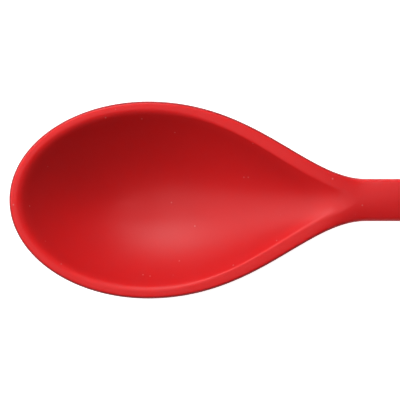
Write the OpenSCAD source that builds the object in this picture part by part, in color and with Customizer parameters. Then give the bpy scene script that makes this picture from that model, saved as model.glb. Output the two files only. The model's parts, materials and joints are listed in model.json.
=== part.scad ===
// Silicone cook's spoon: a perforated nylon bowl core and a nylon grip core are joined
// by a bent steel rod and cross pins, and both are covered in moulded silicone.
// +X runs from the bowl's tip to the handle's end, +Z is up out of the bowl, and the
// spoon lies on z = 0. Lengths called s are measured from the tip along +X.

/* [Bowl] */
// Width of the bowl over its rim
bowl_w = 64; // [60:1:68]
// Length from the tip to where the neck becomes straight
bowl_len = 116; // [110:1:122]
// Distance from the tip to the widest place
widest_at = 45; // [42:1:48]
// Depth of the hollow below the rim
hollow_depth = 16.5; // [14:0.5:18]
// Thickness of the floor at the deepest place
floor_wall = 3.2; // [3:0.1:4]
// Width of the rim seen from above
rim_w = 3.3; // [3:0.1:3.6]
// Height that the rim gains between the widest place and the neck
rim_rise = 2.3; // [1.5:0.1:3]

/* [Handle] */
// Overall length of the spoon
length = 300; // [290:2:310]
// Width of the neck
neck_w = 13.8; // [13:0.1:14.6]
// Thickness of the neck
neck_t = 10.4; // [10:0.1:11]
// Width of the grip at its end
grip_w = 22; // [20:0.5:24]
// Thickness of the grip at its end
grip_t = 12.4; // [12:0.1:13]
// Radius of the arch that the handle makes in side view
arch_r = 450; // [430:10:480]
// Diameter of the hanging hole
hole_d = 8; // [7:0.5:9]
// Distance from the hanging hole's centre to the handle's end
hole_inset = 11.5; // [11:0.5:13]

/* [Inside] */
// Thickness of the silicone over the cores in the neck and grip
skin_t = 1.8; // [1.6:0.1:2]
// Thickness of the silicone over the core in the bowl
bowl_skin_t = 1.1; // [1:0.05:1.2]
// Diameter of the steel rod
rod_d = 4; // [3:0.5:4.5]
// Diameter of the cross pins
pin_d = 2; // [1.5:0.25:2]
// Diameter of the holes that the silicone grips through
lock_hole_d = 4; // [3:0.5:5]

/* [Hidden] */

red = [0.78, 0.10, 0.10];
nylon = [0.16, 0.16, 0.17];
steel = [0.72, 0.73, 0.74];

bowl_r = bowl_w / 2;
neck_r = neck_w / 2;
rim_z = hollow_depth + floor_wall;        // height of the rim over the widest place
hollow_end = bowl_len - 2.8;              // where the hollow runs out into the neck
fan = 6;                                  // length of spine that the front sections fan out from
crown_from = bowl_len - 30;               // where the rims' crowns start to merge into the neck's

// The edge of every section: a nearly upright side, a rounded corner and a gently crowned top.
// Each slope is the slope of the crown next to the corner.
draft = 0.15;                             // how far the side leans in
rim_side = 0.4;
rim_corner = 0.9;
rim_slope = 0.06;
neck_corner = 1.2;
neck_slope = 0.39;
grip_corner = 2.5;
grip_slope = 0.3;
neck_side = neck_t / 2 - neck_corner - neck_slope * neck_r / 2;
under_r = rim_z - rim_side - rim_corner - rim_slope * rim_w / 4; // from the side down to the base

// The handle's middle line in side view: an arch, then a sag that ends level on the table.
rise_angle = atan(2 * rim_rise / (bowl_len - widest_at));
arch_z = rim_z + rim_rise - neck_t / 2;   // height of the middle line where the arch starts
peak_s = bowl_len + arch_r * sin(rise_angle);
turn_s = bowl_len + (length - bowl_len) * 0.54;
turn_angle = asin((turn_s - peak_s) / arch_r);
peak_z = arch_z + arch_r * (1 - cos(rise_angle));
turn_z = peak_z - arch_r * (1 - cos(turn_angle));
sag_r = (turn_z - grip_t / 2) / (1 - cos(turn_angle));
level_s = turn_s + sag_r * sin(turn_angle);

// The two mouldings meet either side of a hard ring at the arch's peak, where it is level.
ring_t = 2;
ring_proud = 0.3;
ring_round = 0.4;
ring_s = peak_s - ring_t / 2;
grip_s = peak_s + ring_t / 2;
cap_r = grip_w / 2;                       // radius of the handle's round end in plan
cap_s = length - cap_r;
hole_s = length - hole_inset;
lining_t = 2;                             // silicone between the hanging hole and the core
entry_r = 1;                              // rounding at the mouths of the hanging hole

rod_r = rod_d / 2;
rod_from = bowl_len + 5;
rod_to = turn_s - 3;
pin_len = neck_w - 2 * skin_t + 0.6;
socket_pin_s = ring_s - 9;
grip_pin_s = grip_s + 14;
socket_pin_tilt = asin((peak_s - socket_pin_s) / arch_r);

// ---- Shared functions

function mix(a, b, t) = a + (b - a) * t;
function ease(t) = let (u = min(max(t, 0), 1)) u * u * (3 - 2 * u);
function bezier(p, t) = p[0] * pow(1 - t, 3) + 3 * p[1] * t * pow(1 - t, 2)
    + 3 * p[2] * t * t * (1 - t) + p[3] * pow(t, 3);

// The lower of two heights, with the corner between them rounded over a height k.
function soft_min(a, b, k) = k < 0.01 ? min(a, b)
    : min(a, b) - pow(max(k - abs(a - b), 0), 2) / (4 * k);

// Height of the handle's middle line.
function middle_z(s) = s < turn_s ? peak_z - arch_r * (1 - cos(asin((s - peak_s) / arch_r)))
    : s < level_s ? grip_t / 2 + sag_r * (1 - cos(asin((level_s - s) / sag_r)))
    : grip_t / 2;

// ---- Bowl: sections fan out from the spine to the outline

// How far along from the widest place (0) to the given end (1).
function along(s, end) = (s - widest_at) / (end - widest_at);

function neckness(s) = ease(along(s, bowl_len));
function hollow_at(s) = let (v = min(max(along(s, hollow_end), 0), 1))
    hollow_depth * (1 - 0.8 * ease(v) - 0.2 * v * v) * (1 - pow(v, 8));
function edge_round(s) = min(mix(1.2, 0.6, ease(along(s, bowl_len - 30))), 0.9 * hollow_at(s));

// A station holds: spine s, outline s, outline y, section radius and share out to the hollow's
// edge. u runs 0..1 round the tip, 1..2 down the flank to the neck, and 2..3 on to the ring.
function station(u) =
    u <= 1 ? let (a = 90 * u, spine = widest_at - fan * cos(a), x = widest_at * (1 - cos(a)),
                  y = bowl_r * sin(a), r = norm([x - spine, y]))
             [spine, x, y, r, 1 - rim_w / r]
    : u <= 2 ? let (p = bezier([[widest_at, bowl_r], [widest_at + 35.5, bowl_r],
                                [bowl_len - 19.5, neck_r], [bowl_len, neck_r]], u - 1),
                    open = max(1 - pow(max(along(p.x, hollow_end), 0), 2.3), 0))
               [p.x, p.x, p.y, p.y, (1 - rim_w / bowl_r) * sqrt(open)]
    : let (x = mix(bowl_len, ring_s, u - 2)) [x, x, neck_r, neck_r, 0];

// Height over the outermost line at a distance d in from it. The crown is highest at w.
function edge_h(d, side, corner, slope, w) =
    side * sqrt(1 - pow(1 - min(d / draft, 1), 2)) + sqrt(pow(corner, 2) - pow(max(corner - d, 0), 2))
    + slope * w / 2 * (1 - pow(min(d / w - 1, 1), 2));

// The crown spans the rim, and towards the neck the two rims' crowns merge into the neck's.
function merging(s) = pow(ease((s - crown_from) / (bowl_len - crown_from)), 2.5);
function crown_w(st) = mix(st[3] * (1 - st[4]) / 2, neck_r, merging(st[0]));
function rim_h(st, d) = let (t = neckness(st[0])) edge_h(d, mix(rim_side, neck_side, t),
    mix(rim_corner, neck_corner, t), mix(rim_slope, neck_slope, merging(st[0])),
    min(crown_w(st), neck_r));
function side_z(st) = st[0] > bowl_len ? middle_z(st[0])
    : rim_z + rim_rise * pow(max(along(st[0], bowl_len), 0), 2) - rim_h(st, crown_w(st));

// Height of the top and of the underside from the outermost line, at a share f from the spine.
function top_h(st, f) = let (depth = hollow_at(st[0]), dome = rim_h(st, st[3] * (1 - f)))
    depth < 0.02 || st[4] < 0.01 ? dome
    : soft_min(dome, rim_h(st, st[3] * (1 - st[4])) - depth * (1 - pow(f / st[4], 2)),
               edge_round(st[0]));
function under_h(st, f) = -mix(under_r * pow(max(1 - f * f, 0), 0.75),
    edge_h(st[3] * (1 - f), neck_side, neck_corner, neck_slope * neck_r / st[3], st[3]),
    neckness(st[0]));

// A point of the section at share f and height h, taken in by t across the surface of slope m.
function section_point(st, f, h, t = 0, m = 0, side = 1) =
    let (k = t / sqrt(1 + m * m), g = f + side * m * k / st[3])
    [mix(st[0], st[1], g), st[2] * g, side_z(st) + h - side * k];
function slope(st, f, top) = let (e = 0.004, a = max(f - e, 0), b = min(f + e, 1))
    (top ? top_h(st, b) - top_h(st, a) : under_h(st, b) - under_h(st, a)) / (st[3] * (b - a));

// The half section of the silicone, from the spine over the rim and back under to the spine.
hollow_steps = [0, 0.17, 0.34, 0.51, 0.67, 0.81, 0.91, 0.97];
rim_angles = [90, 76, 62, 48, 34, 20, 8, 0];
under_angles = [82, 73, 63, 53, 43, 32, 21, 10, 0];
function skin_section(st) = let (edge = max(st[4], 0.45)) concat(
    [for (g = hollow_steps) section_point(st, g * edge, top_h(st, g * edge))],
    [for (b = rim_angles) let (f = 1 - (1 - edge) * (1 - cos(b))) section_point(st, f, top_h(st, f))],
    [for (b = under_angles) section_point(st, sin(b), under_h(st, sin(b)))]);

// The half section of the core: the silicone's section taken in by the skin's thickness.
core_steps = [0, 0.2, 0.4, 0.6, 0.8, 1];
function core_section(st) = let (
        neck = ease((st[0] - bowl_len + 40) / 40),
        t = mix(bowl_skin_t, skin_t, neck),
        top_share = mix(0.93 * st[4], 0.9, neck),
        under_share = 0.9) concat(
    [for (g = core_steps) let (f = g * top_share)
        section_point(st, f, top_h(st, f), t, slope(st, f, true), 1)],
    [for (i = [len(core_steps) - 1:-1:0]) let (f = core_steps[i] * under_share)
        section_point(st, f, under_h(st, f), t, slope(st, f, false), -1)]);

// A closed shell from half sections, mirrored across the spine. The last one is capped flat.
module mirrored_shell(halves) {
    last = len(halves) - 1;
    m = len(halves[0]);
    function id(k, j) = j == 0 ? abs(k) : j == m - 1 ? last + 1 + abs(k)
        : 2 * (last + 1) + (k + last) * (m - 2) + j - 1;
    points = concat([for (h = halves) h[0]], [for (h = halves) h[m - 1]],
        [for (k = [-last:last]) for (j = [1:m - 2]) let (p = halves[abs(k)][j])
            [p.x, k < 0 ? -p.y : p.y, p.z]]);
    sides = [for (k = [-last:last - 1]) for (j = [0:m - 2])
        let (a = id(k, j), b = id(k + 1, j), c = id(k + 1, j + 1), d = id(k, j + 1))
        each [[a, c, b], [a, d, c]]];
    cap = [for (j = [0:m - 1]) id(last, j)];
    other = [for (j = [m - 2:-1:1]) id(-last, j)];
    translate([-length / 2, 0, 0]) polyhedron(points, concat(sides, [concat(cap, other)]));
}

function skin_stations() = [for (i = [0:18]) i / 18, for (i = [1:26]) 1 + i / 26,
                            for (i = [1:6]) 2 + i / 6];
function core_stations() = [for (i = [0:12]) i / 12, for (i = [1:18]) 1 + i / 18,
                            for (i = [1:4]) 2 + i / 4];

// Holes through the bowl core, in rows across the spine: each row is [s, spacing, count].
lock_rows = [[20, 12, 3], [34, 12, 4], [48, 12, 5], [62, 11, 4], [75, 11, 3], [87, 0, 1]];
module lock_holes() {
    for (row = lock_rows) for (i = [0:row[2] - 1])
        translate([row[0] - length / 2, (i - (row[2] - 1) / 2) * row[1], -1])
            cylinder(d = lock_hole_d, h = rim_z + 5, $fn = 32);
}

module bowl_core_solid() {
    difference() {
        mirrored_shell([for (u = core_stations()) core_section(station(u))]);
        lock_holes();
    }
}

// ---- Handle: closed sections along the middle line

// Width and thickness change along the grip. Past cap_s its outline is a half circle.
function widening(s) = ease((s - grip_s - 4) / (level_s - grip_s - 6));
function flattening(s) = ease((s - grip_s - 20) / (level_s - grip_s - 20));
function half_w(s) = mix(neck_r, cap_r, widening(s));

// Half the thickness at a place, taken in by t all round.
function half_t(s, y, t) = let (f = flattening(s), w = half_w(s) - t,
        corner = mix(neck_corner, grip_corner, f) - t / 3, slope = mix(neck_slope, grip_slope, f))
    edge_h(max(w - norm([max(s - cap_s, 0), y]), 0),
           mix(neck_t, grip_t, f) / 2 - t - corner - slope * w / 2, corner, slope, w);

// A closed ring of points round the section at s, taken in by t.
ring_angles = [90, 82, 74, 65, 56, 46, 35, 24, 12, 0];
function grip_ring(s, t) = let (n = len(ring_angles) - 1,
        w = sqrt(max(pow(half_w(s) - t, 2) - pow(max(s - cap_s, 0), 2), 0)))
    [for (quarter = [0:3]) for (i = [0:n - 1])
        let (y = w * sin(ring_angles[quarter % 2 == 0 ? i : n - i]) * (quarter % 3 == 0 ? 1 : -1),
             z = half_t(s, y, t) * (quarter < 2 ? 1 : -1))
            [s - length / 2, y, middle_z(s) + z]];

// A closed shell through rings, capped flat at both ends.
module ring_shell(rings) {
    n = len(rings[0]);
    last = len(rings) - 1;
    sides = [for (k = [0:last - 1]) for (i = [0:n - 1])
        let (a = k * n + i, b = k * n + (i + 1) % n, c = b + n, d = a + n)
        each [[a, c, b], [a, d, c]]];
    polyhedron([for (r = rings) each r],
        concat(sides, [[for (i = [0:n - 1]) i], [for (i = [n - 1:-1:0]) last * n + i]]));
}

// The grip, taken in by t, with rings at even steps up to the round end and then round it.
module grip_solid(t, steps, end_steps) {
    ring_shell(concat(
        [for (i = [0:steps]) grip_ring(mix(grip_s, cap_s, i / steps), t)],
        [for (i = [1:end_steps]) grip_ring(cap_s + (cap_r - t) * sin(88 * i / end_steps), t)]));
}
module grip_skin_solid() { grip_solid(0, 30, 12); }
module grip_core_solid() { grip_solid(skin_t, 22, 7); }

// Straight bore with rounded mouths.
module hanging_hole() {
    straight = grip_t / 2 - entry_r;
    translate([hole_s - length / 2, 0, grip_t / 2]) {
        cylinder(d = hole_d, h = grip_t + 2, center = true, $fn = 64);
        for (side = [0, 1]) mirror([0, 0, side]) rotate_extrude($fn = 64) difference() {
            translate([0, straight]) square([hole_d / 2 + entry_r, entry_r + 0.5]);
            translate([hole_d / 2 + entry_r, straight]) circle(r = entry_r, $fn = 32);
        }
    }
}

// ---- Parts

// A bar bent to the arch, between two places along the handle.
module arch_bar(from, to, r) {
    a0 = asin((from - peak_s) / arch_r);
    a1 = asin((to - peak_s) / arch_r);
    translate([peak_s - length / 2, 0, peak_z - arch_r]) rotate([90, 0, 0]) rotate([0, 0, 90 - a1])
        rotate_extrude(angle = a1 - a0, $fn = 720) translate([arch_r, 0]) circle(r = r, $fn = 48);
}

module cross_pin(s) {
    translate([s - length / 2, 0, middle_z(s)]) rotate([90, 0, 0])
        cylinder(d = pin_d, h = pin_len, center = true, $fn = 32);
}

module core_rod() color(steel) difference() {
    arch_bar(rod_from, rod_to, rod_r);
    cross_pin(socket_pin_s);
    cross_pin(grip_pin_s);
}

module socket_pin() color(steel) cross_pin(socket_pin_s);
module grip_pin() color(steel) cross_pin(grip_pin_s);

module bowl_core() color(nylon) difference() {
    bowl_core_solid();
    arch_bar(rod_from, ring_s + 1, rod_r);
    cross_pin(socket_pin_s);
}

module bowl_skin() color(red) difference() {
    mirrored_shell([for (u = skin_stations()) skin_section(station(u))]);
    bowl_core_solid();
    cross_pin(socket_pin_s);
}

// The ring has the neck's section, a little larger, with rounded edges. A point of its edge
// profile holds how far along the ring it is and how far down from the ring's top.
ring_edge = concat(
    [for (b = [0:30:90]) ring_round * [1 - cos(b), 1 - sin(b)]],
    [for (b = [0:30:90]) [ring_t, 0] + ring_round * [sin(b) - 1, 1 - cos(b)]]);
module joint_ring() color(red) difference() {
    ring_shell([for (e = ring_edge) [for (p = grip_ring(grip_s, e.y - ring_proud))
        [ring_s + e.x - length / 2, p.y, p.z - middle_z(grip_s) + peak_z]]]);
    arch_bar(rod_from, rod_to, rod_r);
}

module grip_core() color(nylon) difference() {
    grip_core_solid();
    translate([hole_s - length / 2, 0, -1])
        cylinder(d = hole_d + 2 * lining_t, h = grip_t + 2, $fn = 64);
    arch_bar(grip_s - 1, rod_to, rod_r);
    cross_pin(grip_pin_s);
}

module grip_skin() color(red) difference() {
    grip_skin_solid();
    difference() {
        grip_core_solid();
        translate([hole_s - length / 2, 0, -1])
            cylinder(d = hole_d + 2 * lining_t, h = grip_t + 2, $fn = 64);
    }
    cross_pin(grip_pin_s);
    hanging_hole();
}

bowl_skin();
bowl_core();
core_rod();
socket_pin();
joint_ring();
grip_core();
grip_pin();
grip_skin();
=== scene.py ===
"""Looks of a red silicone cooking spoon, seen from straight above on a white table.

The two mouldings are rebuilt as fine smooth meshes from the rules that shape the CAD skins. Lengths in the
shape rules are in millimetres: s runs along the spoon from the tip of the bowl, y across and z up.
"""

import json
import math
from collections import namedtuple

import bpy
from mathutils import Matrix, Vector


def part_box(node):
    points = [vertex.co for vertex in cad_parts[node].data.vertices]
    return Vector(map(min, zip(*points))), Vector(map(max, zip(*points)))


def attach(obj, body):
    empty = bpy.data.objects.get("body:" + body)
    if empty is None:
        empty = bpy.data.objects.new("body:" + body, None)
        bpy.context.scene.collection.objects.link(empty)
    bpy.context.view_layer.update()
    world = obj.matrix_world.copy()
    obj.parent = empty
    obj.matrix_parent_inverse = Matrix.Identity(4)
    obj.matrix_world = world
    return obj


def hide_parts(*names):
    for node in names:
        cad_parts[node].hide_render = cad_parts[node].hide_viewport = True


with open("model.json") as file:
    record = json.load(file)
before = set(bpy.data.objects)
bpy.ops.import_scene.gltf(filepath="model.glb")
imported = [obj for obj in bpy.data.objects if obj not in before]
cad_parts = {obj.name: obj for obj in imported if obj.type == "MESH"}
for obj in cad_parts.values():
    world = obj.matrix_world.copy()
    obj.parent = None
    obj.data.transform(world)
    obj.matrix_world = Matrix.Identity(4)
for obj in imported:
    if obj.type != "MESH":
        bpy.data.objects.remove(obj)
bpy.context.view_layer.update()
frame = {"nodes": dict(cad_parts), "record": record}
MM = 0.001

# ---- Sizes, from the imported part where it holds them

BOWL_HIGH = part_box("bowl_skin")[1]
GRIP_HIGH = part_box("grip_skin")[1]
RING_LOW, RING_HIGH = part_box("joint_ring")
HOLE = frame["record"]["mounts"][0]

LENGTH = 300.0
TIP_X = -LENGTH / 2 * MM
LINE_PROUD = 0.12  # how far the mould's parting line stands out
BOWL_R = BOWL_HIGH.y / MM
BOWL_LEN = 116.0
WIDEST_AT = 45.0
HOLLOW_DEPTH = 16.5
FLOOR_WALL = 3.2
RIM_W = 3.3
RIM_RISE = 2.3
NECK_R = 6.9
NECK_T = 10.4
GRIP_T = 12.4
FAN = 6.0  # length of spine that the front sections fan out from
HOLLOW_END = BOWL_LEN - 2.8  # where the hollow runs out into the neck
CROWN_FROM = BOWL_LEN - 30  # where the rims' crowns start to merge into the neck's
CRISP_AT = BOWL_LEN - 40  # where the hollow's edge has become crisp
RIM_Z = HOLLOW_DEPTH + FLOOR_WALL

# The flank's curve leaves the widest place and reaches the neck along the spoon, by these handles.
WIDEST_HANDLE = 35.5
NECK_HANDLE = 19.5

# The edge of every section: a nearly upright side, a rounded corner and a gently crowned top.
DRAFT = 0.15
RIM_SIDE, RIM_CORNER, RIM_SLOPE = 0.4, 0.9, 0.06
NECK_CORNER, NECK_SLOPE = 1.2, 0.39
NECK_SIDE = NECK_T / 2 - NECK_CORNER - NECK_SLOPE * NECK_R / 2
GRIP_CORNER, GRIP_SLOPE = 2.5, 0.3
UNDER_R = RIM_Z - RIM_SIDE - RIM_CORNER - RIM_SLOPE * RIM_W / 4

# The handle's middle line in side view: an arch, then a sag that ends level on the table.
ARCH_R = 450.0
RISE_ANGLE = math.atan(2 * RIM_RISE / (BOWL_LEN - WIDEST_AT))
ARCH_Z = RIM_Z + RIM_RISE - NECK_T / 2
PEAK_S = BOWL_LEN + ARCH_R * math.sin(RISE_ANGLE)
PEAK_Z = ARCH_Z + ARCH_R * (1 - math.cos(RISE_ANGLE))
TURN_S = BOWL_LEN + (LENGTH - BOWL_LEN) * 0.54
TURN_ANGLE = math.asin((TURN_S - PEAK_S) / ARCH_R)
TURN_Z = PEAK_Z - ARCH_R * (1 - math.cos(TURN_ANGLE))
SAG_R = (TURN_Z - GRIP_T / 2) / (1 - math.cos(TURN_ANGLE))
LEVEL_S = TURN_S + SAG_R * math.sin(TURN_ANGLE)
CAP_R = GRIP_HIGH.y / MM
CAP_S = (GRIP_HIGH.x - TIP_X) / MM - CAP_R

RING_S = (RING_LOW.x - TIP_X) / MM
GRIP_S = (RING_HIGH.x - TIP_X) / MM
HOLE_S = (HOLE["pos_m"][0] - TIP_X) / MM
HOLE_R = HOLE["dims"]["r_mm"]
MOUTH_R = 1.0  # rounding at the mouths of the hanging hole
END_ROUND = 0.45  # rounding where each moulding meets the ring
PATCH_S = 272.0  # where the grip's rings give way to the patches around the hanging hole

# ---- Fineness of the meshes

LEAST_EDGE = 0.45  # where the hollow's points end once it is narrower than this
HOLLOW_STEPS = 30
RIM_STEPS = 22
UNDER_STEPS = 26
TIP_STATIONS = 72
FLANK_STATIONS = 104
NECK_STATIONS = 16
ROUND_STEPS = 5
RING_POINTS = 88
GRIP_RINGS = 110
PATCH_STEPS = 26
SIDE_POINTS = 30
END_POINTS = 48


# ---- Shape rules


def mix(a, b, t):
    return a + (b - a) * t


def ease(t):
    t = min(max(t, 0.0), 1.0)
    return t * t * (3 - 2 * t)


def bezier(points, t):
    a, b, c, d = points
    return a * (1 - t) ** 3 + 3 * b * t * (1 - t) ** 2 + 3 * c * t * t * (1 - t) + d * t**3


def soft_min(a, b, k):
    """The lower of two heights, with the corner between them rounded over a height k."""
    if k < 0.01:
        return min(a, b)
    return min(a, b) - max(k - abs(a - b), 0) ** 2 / (4 * k)


def middle_z(s):
    """Height of the handle's middle line."""
    if s < TURN_S:
        return PEAK_Z - ARCH_R * (1 - math.cos(math.asin((s - PEAK_S) / ARCH_R)))
    if s < LEVEL_S:
        return GRIP_T / 2 + SAG_R * (1 - math.cos(math.asin((LEVEL_S - s) / SAG_R)))
    return GRIP_T / 2


def along(s, end):
    """How far along from the widest place (0) to the given end (1)."""
    return (s - WIDEST_AT) / (end - WIDEST_AT)


def neckness(s):
    """How far the bowl's section has given way to the neck's."""
    return ease(along(s, BOWL_LEN))


def hollow_at(s):
    """Depth of the hollow on the spine."""
    v = min(max(along(s, HOLLOW_END), 0), 1)
    return HOLLOW_DEPTH * (1 - 0.8 * ease(v) - 0.2 * v * v) * (1 - v**8)


def edge_round(s):
    """Rounding of the hollow's edge, crisper towards the neck than on the plain CAD skin."""
    return min(mix(1.2, 0.35, ease(along(s, CRISP_AT))), 0.9 * hollow_at(s))


Station = namedtuple("Station", "spine s y radius edge")


def station(u):
    """Where the section at u runs: u is 0..1 round the tip, 1..2 down the flank, 2..3 along the neck."""
    if u <= 1:
        a = math.radians(90 * u)
        spine = WIDEST_AT - FAN * math.cos(a)
        s = WIDEST_AT * (1 - math.cos(a))
        y = BOWL_R * math.sin(a)
        radius = math.hypot(s - spine, y)
        return Station(spine, s, y, radius, 1 - RIM_W / radius)
    if u <= 2:
        start, end = Vector((WIDEST_AT, BOWL_R)), Vector((BOWL_LEN, NECK_R))
        after, before = Vector((WIDEST_HANDLE, 0)), Vector((NECK_HANDLE, 0))
        p = bezier([start, start + after, end - before, end], u - 1)
        open_part = max(1 - max(along(p.x, HOLLOW_END), 0) ** 2.3, 0)
        return Station(p.x, p.x, p.y, p.y, (1 - RIM_W / BOWL_R) * math.sqrt(open_part))
    s = mix(BOWL_LEN, RING_S, u - 2)
    return Station(s, s, NECK_R, NECK_R, 0)


def edge_h(d, side, corner, slope, w):
    """Height over the outermost line at a distance d in from it. The crown is highest at w."""
    height = side * math.sqrt(1 - (1 - min(d / DRAFT, 1)) ** 2)
    height += math.sqrt(corner**2 - max(corner - d, 0) ** 2)
    return height + slope * w / 2 * (1 - min(d / w - 1, 1) ** 2)


def merging(s):
    """How far the two rims' crowns have merged into the neck's."""
    return ease((s - CROWN_FROM) / (BOWL_LEN - CROWN_FROM)) ** 2.5


def crown_w(st):
    """Half the crown's span: over the rim, and growing to the whole neck."""
    return mix(st.radius * (1 - st.edge) / 2, NECK_R, merging(st.spine))


def rim_h(st, d):
    """Height of the rim over the outermost line at a distance d in from it."""
    t = neckness(st.spine)
    side, corner = mix(RIM_SIDE, NECK_SIDE, t), mix(RIM_CORNER, NECK_CORNER, t)
    slope = mix(RIM_SLOPE, NECK_SLOPE, merging(st.spine))
    return edge_h(d, side, corner, slope, min(crown_w(st), NECK_R))


def side_z(st):
    """Height of the outermost line."""
    if st.spine > BOWL_LEN:
        return middle_z(st.spine)
    rise = RIM_RISE * max(along(st.spine, BOWL_LEN), 0) ** 2
    return RIM_Z + rise - rim_h(st, crown_w(st))


def top_h(st, f):
    """Height of the top over the outermost line, at a share f of the way out from the spine."""
    depth = hollow_at(st.spine)
    dome = rim_h(st, st.radius * (1 - f))
    if depth < 0.02 or st.edge < 0.01:
        return dome
    dish = rim_h(st, st.radius * (1 - st.edge)) - depth * (1 - (f / st.edge) ** 2)
    return soft_min(dome, dish, edge_round(st.spine))


def under_h(st, f):
    """Height of the underside from the outermost line."""
    base = UNDER_R * max(1 - f * f, 0) ** 0.75
    r = st.radius
    neck = edge_h(r * (1 - f), NECK_SIDE, NECK_CORNER, NECK_SLOPE * NECK_R / r, r)
    return -mix(base, neck, neckness(st.spine))


# ---- Meshes


def mesh_object(name, points, faces):
    """A smooth mesh from points in millimetres along the spoon."""
    mesh = bpy.data.meshes.new(name)
    mesh.from_pydata([(TIP_X + s * MM, y * MM, z * MM) for s, y, z in points], [], faces)
    mesh.validate()
    for polygon in mesh.polygons:
        polygon.use_smooth = True
    obj = bpy.data.objects.new(name, mesh)
    bpy.context.scene.collection.objects.link(obj)
    return obj


def band(a, b):
    """Faces between two closed loops of point numbers."""
    n = len(a)
    return [(a[i], a[(i + 1) % n], b[(i + 1) % n], b[i]) for i in range(n)]


def loops_shell(loops):
    """Points and faces of a shell through closed loops of points, with a cap on the first."""
    n = len(loops[0])
    numbers = [range(k * n, (k + 1) * n) for k in range(len(loops))]
    faces = [tuple(reversed(numbers[0]))]
    for a, b in zip(numbers, numbers[1:]):
        faces += band(a, b)
    return [p for loop in loops for p in loop], faces


def shrink(points, s, scale):
    """A section moved to s and made smaller about the middle line."""
    z0 = middle_z(s)
    old = middle_z(points[0][0])
    return [(s, y * scale, z0 + (z - old) * scale) for _, y, z in points]


def end_rounding():
    """Steps of the rounding at a moulding's end: how far from the end, and the section's scale."""
    for i in range(1, ROUND_STEPS + 1):
        a = math.radians(90 * i / ROUND_STEPS)
        yield END_ROUND * (1 - math.sin(a)), 1 - END_ROUND * (1 - math.cos(a)) / NECK_R


# ---- Bowl and neck


def half_section(st):
    """Points from the spine over the rim and back under to the spine, on the side of positive y.

    The points of the hollow crowd towards its edge, and those of the rim and underside towards the outline.
    """
    edge = max(st.edge, LEAST_EDGE)
    top = [edge * (1 - (1 - i / HOLLOW_STEPS) ** 1.7) for i in range(HOLLOW_STEPS)]
    top += [1 - (1 - edge) * (1 - math.cos(math.radians(90 * (1 - i / RIM_STEPS)))) for i in range(RIM_STEPS)]
    under = [math.sin(math.radians(90 * (1 - i / UNDER_STEPS))) for i in range(UNDER_STEPS + 1)]
    rows = [(f, top_h(st, f)) for f in top] + [(f, under_h(st, f)) for f in under]
    pull = 1 - LINE_PROUD / st.radius
    z0 = side_z(st)
    return [(mix(st.spine, st.s, f * pull), st.y * f * pull, z0 + h) for f, h in rows]


def bowl_stations(neck_part):
    """Stations from the tip down the flank and along a part of the neck."""
    us = [i / TIP_STATIONS for i in range(TIP_STATIONS + 1)]
    us += [1 + i / FLANK_STATIONS for i in range(1, FLANK_STATIONS + 1)]
    us += [2 + neck_part * i / NECK_STATIONS for i in range(1, NECK_STATIONS + 1)]
    return [station(u) for u in us]


def mirrored_shell(halves):
    """Points and faces of a closed shell from half sections, mirrored across the spine and capped."""
    last, m = len(halves) - 1, len(halves[0])

    def number(k, j):
        if j == 0:
            return abs(k)
        if j == m - 1:
            return last + 1 + abs(k)
        return 2 * (last + 1) + (k + last) * (m - 2) + j - 1

    points = [h[0] for h in halves] + [h[-1] for h in halves]
    for k in range(-last, last + 1):
        side = -1 if k < 0 else 1
        points += [(s, side * y, z) for s, y, z in halves[abs(k)][1:-1]]
    faces = [
        (number(k, j), number(k + 1, j), number(k + 1, j + 1), number(k, j + 1))
        for k in range(-last, last)
        for j in range(m - 1)
    ]
    cap = [number(last, j) for j in range(m - 1, -1, -1)]
    cap += [number(-last, j) for j in range(1, m - 1)]
    return points, faces + [tuple(cap)]


def bowl_moulding():
    halves = [half_section(st) for st in bowl_stations(1 - END_ROUND / (RING_S - BOWL_LEN))]
    straight = halves[-1]
    halves += [shrink(straight, RING_S - back, scale) for back, scale in end_rounding()]
    return mesh_object("bowl_moulding", *mirrored_shell(halves))


# ---- Grip


def widening(s):
    """How far the width has grown from the neck's to the grip's."""
    return ease((s - GRIP_S - 4) / (LEVEL_S - GRIP_S - 6))


def flattening(s):
    """How far the neck's section has given way to the grip's."""
    return ease((s - GRIP_S - 20) / (LEVEL_S - GRIP_S - 20))


def half_w(s):
    """Half the width, less what the parting line stands out."""
    return mix(NECK_R, CAP_R, widening(s)) - LINE_PROUD


def half_t(s, y):
    """Half the thickness at a place."""
    f = flattening(s)
    w = half_w(s)
    corner, slope = mix(NECK_CORNER, GRIP_CORNER, f), mix(NECK_SLOPE, GRIP_SLOPE, f)
    side = mix(NECK_T, GRIP_T, f) / 2 - corner - slope * w / 2
    inward = max(w - math.hypot(max(s - CAP_S, 0), y), 0)
    return edge_h(inward, side, corner, slope, w)


def patch_height(s, y):
    """Half the grip's thickness at a place, with the rounded mouth of the hanging hole."""
    inside = max(HOLE_R + MOUTH_R - math.hypot(s - HOLE_S, y), 0)
    return half_t(s, y) - (MOUTH_R - math.sqrt(max(MOUTH_R**2 - inside**2, 0)))


def grip_ring(s):
    """A closed ring of points round the section at s, starting at the side of positive y."""
    ring = []
    half = RING_POINTS // 2
    for i in range(RING_POINTS):
        up = 1 if i < half else -1
        turn = math.radians(90 - 180 * (i % half) / half)
        y = up * half_w(s) * math.sin(turn)
        ring.append((s, y, middle_z(s) + up * half_t(s, y)))
    return ring


def end_outline():
    """The outline from the last ring, round the handle's end and back, from positive y."""
    places = [mix(PATCH_S, CAP_S, i / SIDE_POINTS) for i in range(1, SIDE_POINTS + 1)]
    outline = [(s, half_w(s)) for s in places]
    r = CAP_R - LINE_PROUD
    for i in range(1, END_POINTS):
        a = math.radians(90 - 180 * i / END_POINTS)
        outline.append((CAP_S + r * math.cos(a), r * math.sin(a)))
    outline += [(s, -half_w(s)) for s in reversed(places)]
    return [(s, y, middle_z(s)) for s, y in outline]


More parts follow.
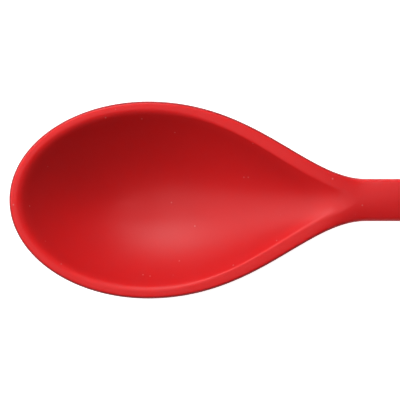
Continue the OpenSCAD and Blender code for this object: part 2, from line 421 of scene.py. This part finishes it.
def patch_loops(points, border, side):
    """Loops of point numbers from the hanging hole out to the border, crowded towards the border.

    The patch is the top of the grip for side 1 and its underside for side -1.
    """
    loops = [[] for _ in range(PATCH_STEPS)]
    for number in border:
        s1, y1, _ = points[number]
        away = Vector((s1 - HOLE_S, y1)).normalized()
        for step, loop in enumerate(loops):
            t = 1 - (1 - step / PATCH_STEPS) ** 2.2
            s = mix(HOLE_S + away.x * HOLE_R, s1, t)
            y = mix(away.y * HOLE_R, y1, t)
            loop.append(len(points))
            points.append((s, y, middle_z(s) + side * patch_height(s, y)))
    return loops + [border]


def grip_moulding():
    """Rings along the grip, then a patch round the hanging hole on the top and one underneath."""
    first = GRIP_S + END_ROUND
    rings = [shrink(grip_ring(first), GRIP_S + back, scale) for back, scale in end_rounding()]
    rings.reverse()
    rings += [grip_ring(mix(first, PATCH_S, i / GRIP_RINGS)) for i in range(GRIP_RINGS + 1)]
    points, faces = loops_shell(rings)

    last = len(points) - RING_POINTS
    outline = end_outline()
    outline_numbers = list(range(len(points), len(points) + len(outline)))
    points += outline
    hole = {}
    for side in (1, -1):
        half_ring = [last + (side * i) % RING_POINTS for i in range(RING_POINTS // 2, -1, -1)]
        loops = patch_loops(points, half_ring + outline_numbers, side)
        hole[side] = loops[0]
        for a, b in zip(loops, loops[1:]):
            faces += band(a, b) if side > 0 else band(b, a)
    faces += band(hole[-1], hole[1])
    return mesh_object("grip_moulding", points, faces)


# ---- Parting lines

# The line's section: how far out from the moulding, and how far up.
LINE_SECTION = [
    (-0.25, -0.2),
    (0.0, -0.13),
    (LINE_PROUD, -0.05),
    (LINE_PROUD, 0.05),
    (0.0, 0.13),
    (-0.25, 0.2),
]


def parting_line(name, half_path):
    """A fine raised line round the spoon where the halves of the mould meet, clockwise from above."""
    path = [(s, -y, z) for s, y, z in reversed(half_path)] + half_path[1:]
    loops = []
    for k, (s, y, z) in enumerate(path):
        before, after = path[max(k - 1, 0)], path[min(k + 1, len(path) - 1)]
        run = Vector((after[0] - before[0], after[1] - before[1])).normalized()
        out = Vector((-run.y, run.x))
        reaches = [(reach - LINE_PROUD, up) for reach, up in LINE_SECTION]
        loops.append([(s + out.x * d, y + out.y * d, z + up) for d, up in reaches])
    points, faces = loops_shell(loops)
    far_cap = tuple(range(len(points) - len(LINE_SECTION), len(points)))
    return mesh_object(name, points, faces + [far_cap])


def bowl_line():
    """The line round the bowl and neck, which stops just short of the ring."""
    return parting_line("bowl_line", [(st.s, st.y, side_z(st)) for st in bowl_stations(0.98)])


def grip_line():
    """The line round the grip and its end."""
    half = []
    for i in range(END_POINTS + 1):
        a = math.radians(90 * i / END_POINTS)
        half.append((CAP_S + CAP_R * math.cos(a), -CAP_R * math.sin(a), middle_z(CAP_S)))
    places = [mix(CAP_S, GRIP_S + END_ROUND, i / GRIP_RINGS) for i in range(1, GRIP_RINGS + 1)]
    half += [(s, -half_w(s) - LINE_PROUD, middle_z(s)) for s in places]
    return parting_line("grip_line", half)


# ---- Nodes that the materials are built from


def new_material(name, settings):
    """A material whose shader has the given constants, with its node tree and shader."""
    material = bpy.data.materials.new(name)
    material.use_nodes = True
    shader = material.node_tree.nodes["Principled BSDF"]
    for socket, value in settings.items():
        shader.inputs[socket].default_value = value
    return material, material.node_tree, shader


def add_node(tree, kind, inputs, **settings):
    """A node with its settings made and each of its inputs linked to a socket or set to a value."""
    node = tree.nodes.new(kind)
    for setting, value in settings.items():
        setattr(node, setting, value)
    for socket, value in inputs.items():
        if isinstance(value, bpy.types.NodeSocket):
            tree.links.new(value, node.inputs[socket])
        else:
            node.inputs[socket].default_value = value
    return node


def calculate(tree, operation, *values):
    return add_node(tree, "ShaderNodeMath", dict(enumerate(values)), operation=operation).outputs["Value"]


def calculate_vector(tree, operation, *values):
    return add_node(tree, "ShaderNodeVectorMath", dict(enumerate(values)), operation=operation)


def blend_colour(tree, factor, a, b):
    inputs = {"Factor": factor, "A": a, "B": b}
    return add_node(tree, "ShaderNodeMix", inputs, data_type="RGBA").outputs["Result"]


def rescale(tree, value, low, high):
    """A value from low to high for another from 0 to 1."""
    inputs = {"Value": value, "To Min": low, "To Max": high}
    return add_node(tree, "ShaderNodeMapRange", inputs).outputs["Result"]


def share(tree, value, start, end, interpolation="SMOOTHSTEP"):
    """0 where the value is at the start, rising to 1 where it is at the end."""
    inputs = {"Value": value, "From Min": start, "From Max": end}
    node = add_node(tree, "ShaderNodeMapRange", inputs, interpolation_type=interpolation)
    return node.outputs["Result"]


def object_place(tree):
    return tree.nodes.new("ShaderNodeTexCoord").outputs["Object"]


def noise(tree, place, scale, detail):
    inputs = {"Vector": place, "Scale": scale, "Detail": detail}
    return add_node(tree, "ShaderNodeTexNoise", inputs).outputs["Fac"]


def set_colour(tree, shader, colour):
    tree.links.new(colour, shader.inputs["Base Color"])


def add_bump(tree, shader, height, distance, strength):
    inputs = {"Height": height, "Distance": distance, "Strength": strength}
    bump = add_node(tree, "ShaderNodeBump", inputs)
    tree.links.new(bump.outputs["Normal"], shader.inputs["Normal"])


# ---- Materials

SILICONE_IOR = 1.41


def painted_rim_light_and_handle_tone_share(tree, place, normal_z):
    """Painted light on the top of the rim where it faces up, and a lighter tone at half strength all over the
    handle.
    """
    run = (BOWL_LEN - WIDEST_AT) * MM
    widest_x = TIP_X + WIDEST_AT * MM
    split = add_node(tree, "ShaderNodeSeparateXYZ", {"Vector": place})
    past = calculate(tree, "MULTIPLY_ADD", split.outputs["X"], 1 / run, -widest_x / run)
    past = calculate(tree, "MAXIMUM", past, 0.0)
    rise = calculate(tree, "MULTIPLY", calculate(tree, "MULTIPLY", past, past), RIM_RISE * MM)
    rim_top = calculate(tree, "ADD", rise, RIM_Z * MM)
    below = calculate(tree, "SUBTRACT", rim_top, split.outputs["Z"])
    near_top = share(tree, below, 0.003, 0.0)
    upward = share(tree, normal_z, 0.45, 0.95)
    on_bowl = share(tree, past, 1.0, 0.6)
    on_handle = calculate(tree, "MULTIPLY_ADD", on_bowl, -0.5, 0.5)
    rim = calculate(tree, "MULTIPLY", near_top, upward)
    return calculate(tree, "MULTIPLY_ADD", rim, on_bowl, on_handle)


def painted_corner_shade_share(tree, place, normal, normal_z):
    """Painted shade on the rounded corner round the outline, which faces outward and a little up."""
    squeeze = 0.25  # the outline is long, so lengths count less than widths
    middle = (-squeeze * (TIP_X + WIDEST_AT * MM), 0, 0)
    reach = calculate_vector(tree, "MULTIPLY_ADD", place, (squeeze, 1, 0), middle)
    away = calculate_vector(tree, "NORMALIZE", reach.outputs["Vector"])
    outward = calculate_vector(tree, "DOT_PRODUCT", away.outputs["Vector"], normal)
    outside = share(tree, outward.outputs["Value"], 0.25, 0.8)
    return calculate(tree, "MULTIPLY", outside, share(tree, normal_z, 0.0, 0.3))


def speck_share(tree, place):
    """A few specks of dust, like those in the photo but in other places."""
    cells = add_node(tree, "ShaderNodeTexVoronoi", {"Vector": place, "Scale": 260.0})
    near = share(tree, cells.outputs["Distance"], 0.09, 0.03, "LINEAR")
    chosen = calculate(tree, "GREATER_THAN", cells.outputs["Color"], 0.5)
    return calculate(tree, "MULTIPLY", near, chosen)


def silicone():
    """Satin silicone that lets a little light through."""
    settings = {
        "Roughness": 0.38,
        "IOR": SILICONE_IOR,
        "Specular IOR Level": 0.38,
        "Subsurface Weight": 1.0,
        "Subsurface Radius": (1.0, 0.12, 0.10),
        "Subsurface Scale": 0.0015,
        "Sheen Weight": 0.03,
        "Sheen Roughness": 0.5,
    }
    material, tree, shader = new_material("silicone_red", settings)
    place = object_place(tree)
    normal = tree.nodes.new("ShaderNodeNewGeometry").outputs["Normal"]
    normal_z = add_node(tree, "ShaderNodeSeparateXYZ", {"Vector": normal}).outputs["Z"]
    clouds = noise(tree, place, 45.0, 3.0)
    tone = blend_colour(tree, clouds, (0.66, 0.0095, 0.0115, 1), (0.70, 0.0110, 0.0130, 1))
    # Painted light on the rim's top and painted shade on its outer corner, set by measure to follow the
    # photo's shading.
    for factor, colour in (
        (painted_rim_light_and_handle_tone_share(tree, place, normal_z), (0.84, 0.0180, 0.0200, 1)),
        (painted_corner_shade_share(tree, place, normal, normal_z), (0.38, 0.0064, 0.0084, 1)),
        (speck_share(tree, place), (0.78, 0.16, 0.16, 1)),
    ):
        tone = blend_colour(tree, factor, tone, colour)
    set_colour(tree, shader, tone)
    add_bump(tree, shader, noise(tree, place, 2600.0, 2.0), 0.00002, 0.5)
    return material


def seam():
    """The mould's parting line, which is a guess: duller and darker than the faces beside it."""
    material, tree, shader = new_material("silicone_seam", {"Roughness": 0.6, "IOR": SILICONE_IOR})
    clouds = noise(tree, object_place(tree), 300.0, 3.0)
    set_colour(tree, shader, blend_colour(tree, clouds, (0.16, 0.012, 0.018, 1), (0.24, 0.016, 0.024, 1)))
    return material


def nylon(name, colour):
    material, tree, shader = new_material(name, {"Roughness": 0.5, "IOR": 1.53})
    grain = noise(tree, object_place(tree), 900.0, 3.0)
    paler = [c * 1.15 for c in colour]
    set_colour(tree, shader, blend_colour(tree, grain, (*colour, 1), (*paler, 1)))
    add_bump(tree, shader, grain, 0.00003, 0.6)
    return material


def steel():
    """Drawn wire, with streaks along the handle."""
    settings = {"Metallic": 1.0, "Base Color": (0.62, 0.62, 0.60, 1)}
    material, tree, shader = new_material("stainless", settings)
    inputs = {"Vector": object_place(tree), "Scale": (0.02, 1, 1)}
    stretched = add_node(tree, "ShaderNodeMapping", inputs).outputs["Vector"]
    rough = rescale(tree, noise(tree, stretched, 400.0, 4.0), 0.25, 0.42)
    tree.links.new(rough, shader.inputs["Roughness"])
    return material


def glow(tree, on_spoon, in_picture):
    """How strongly a backdrop shines on the spoon, and how white it is in the picture."""
    direct = tree.nodes.new("ShaderNodeLightPath").outputs["Is Camera Ray"]
    return rescale(tree, direct, on_spoon, in_picture)


def table_top():
    settings = {"Roughness": 0.8, "Specular IOR Level": 0.2, "Emission Color": (1, 1, 1, 1)}
    material, tree, shader = new_material("table_top", settings)
    tree.links.new(glow(tree, 0.4, 0.9), shader.inputs["Emission Strength"])
    clouds = noise(tree, object_place(tree), 8.0, 2.0)
    set_colour(tree, shader, blend_colour(tree, clouds, (0.86, 0.86, 0.86, 1), (0.88, 0.88, 0.88, 1)))
    return material


def wear(obj, material):
    obj.data.materials.clear()
    obj.data.materials.append(material)


# ---- Studio

# Each light's name, turn round +Z from +X, angle over the table, size and energy.
LIGHTS = [
    ("window", 106, 39, 0.55, 5.3),
    ("side", 156, 24, 0.45, 3.4),
    ("ceiling", 158, 68, 0.8, 3.3),
]
LIGHT_DISTANCE = 1.0
TABLE_REACH = 3.0
PICTURE_W = 0.1295  # the width that the picture takes in at the rim
PICTURE_S = 61.9  # the place at the picture's middle


def area_light(name, turn, up, size, energy):
    """A square soft light that shines on the middle of the bowl."""
    light = bpy.data.lights.new(name, "AREA")
    light.shape = "SQUARE"
    light.size = size
    light.energy = energy
    turn, up = math.radians(turn), math.radians(up)
    towards = Vector((math.cos(turn) * math.cos(up), math.sin(turn) * math.cos(up), math.sin(up)))
    obj = bpy.data.objects.new(name, light)
    obj.location = Vector((TIP_X + WIDEST_AT * MM, 0, 0.01)) + towards * LIGHT_DISTANCE
    obj.rotation_euler = towards.to_track_quat("Z", "Y").to_euler()
    bpy.context.scene.collection.objects.link(obj)


def sky():
    world = bpy.data.worlds.new("studio")
    world.use_nodes = True
    background = world.node_tree.nodes["Background"]
    background.inputs["Color"].default_value = (1, 1, 1, 1)
    world.node_tree.links.new(glow(world.node_tree, 0.14, 0.9), background.inputs["Strength"])
    bpy.context.scene.world = world
    bpy.context.scene.view_settings.view_transform = "Standard"


def table():
    mesh = bpy.data.meshes.new("table")
    corners = [(x * TABLE_REACH, y * TABLE_REACH, 0) for x, y in ((-1, -1), (1, -1), (1, 1), (-1, 1))]
    mesh.from_pydata(corners, [], [(0, 1, 2, 3)])
    obj = bpy.data.objects.new("table", mesh)
    bpy.context.scene.collection.objects.link(obj)
    wear(obj, table_top())


def camera():
    """Straight above the bowl, with the handle running out of the picture."""
    data = bpy.data.cameras.new("camera")
    data.lens = 150
    data.sensor_width = 36
    obj = bpy.data.objects.new("camera", data)
    height = RIM_Z * MM + PICTURE_W * data.lens / data.sensor_width
    obj.location = (TIP_X + PICTURE_S * MM, 0, height)
    bpy.context.scene.collection.objects.link(obj)
    bpy.context.scene.camera = obj


# ---- Pieces


def dress():
    """Build the pieces that show, and give every CAD node its finish."""
    red, dull = silicone(), seam()
    for build, material, node in (
        (bowl_moulding, red, "bowl_skin"),
        (grip_moulding, red, "grip_skin"),
        (bowl_line, dull, None),
        (grip_line, dull, None),
    ):
        piece = build()
        wear(piece, material)
        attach(piece, "root")
        if node:
            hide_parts(node)
    black, metal = nylon("nylon_black", (0.012, 0.012, 0.013)), steel()
    finishes = {
        "bowl_core": black,
        "grip_core": black,
        "joint_ring": nylon("nylon_red", (0.50, 0.012, 0.014)),
        "core_rod": metal,
        "socket_pin": metal,
        "grip_pin": metal,
    }
    for node, material in finishes.items():
        wear(frame["nodes"][node], material)


dress()
for settings in LIGHTS:
    area_light(*settings)
sky()
table()
camera()
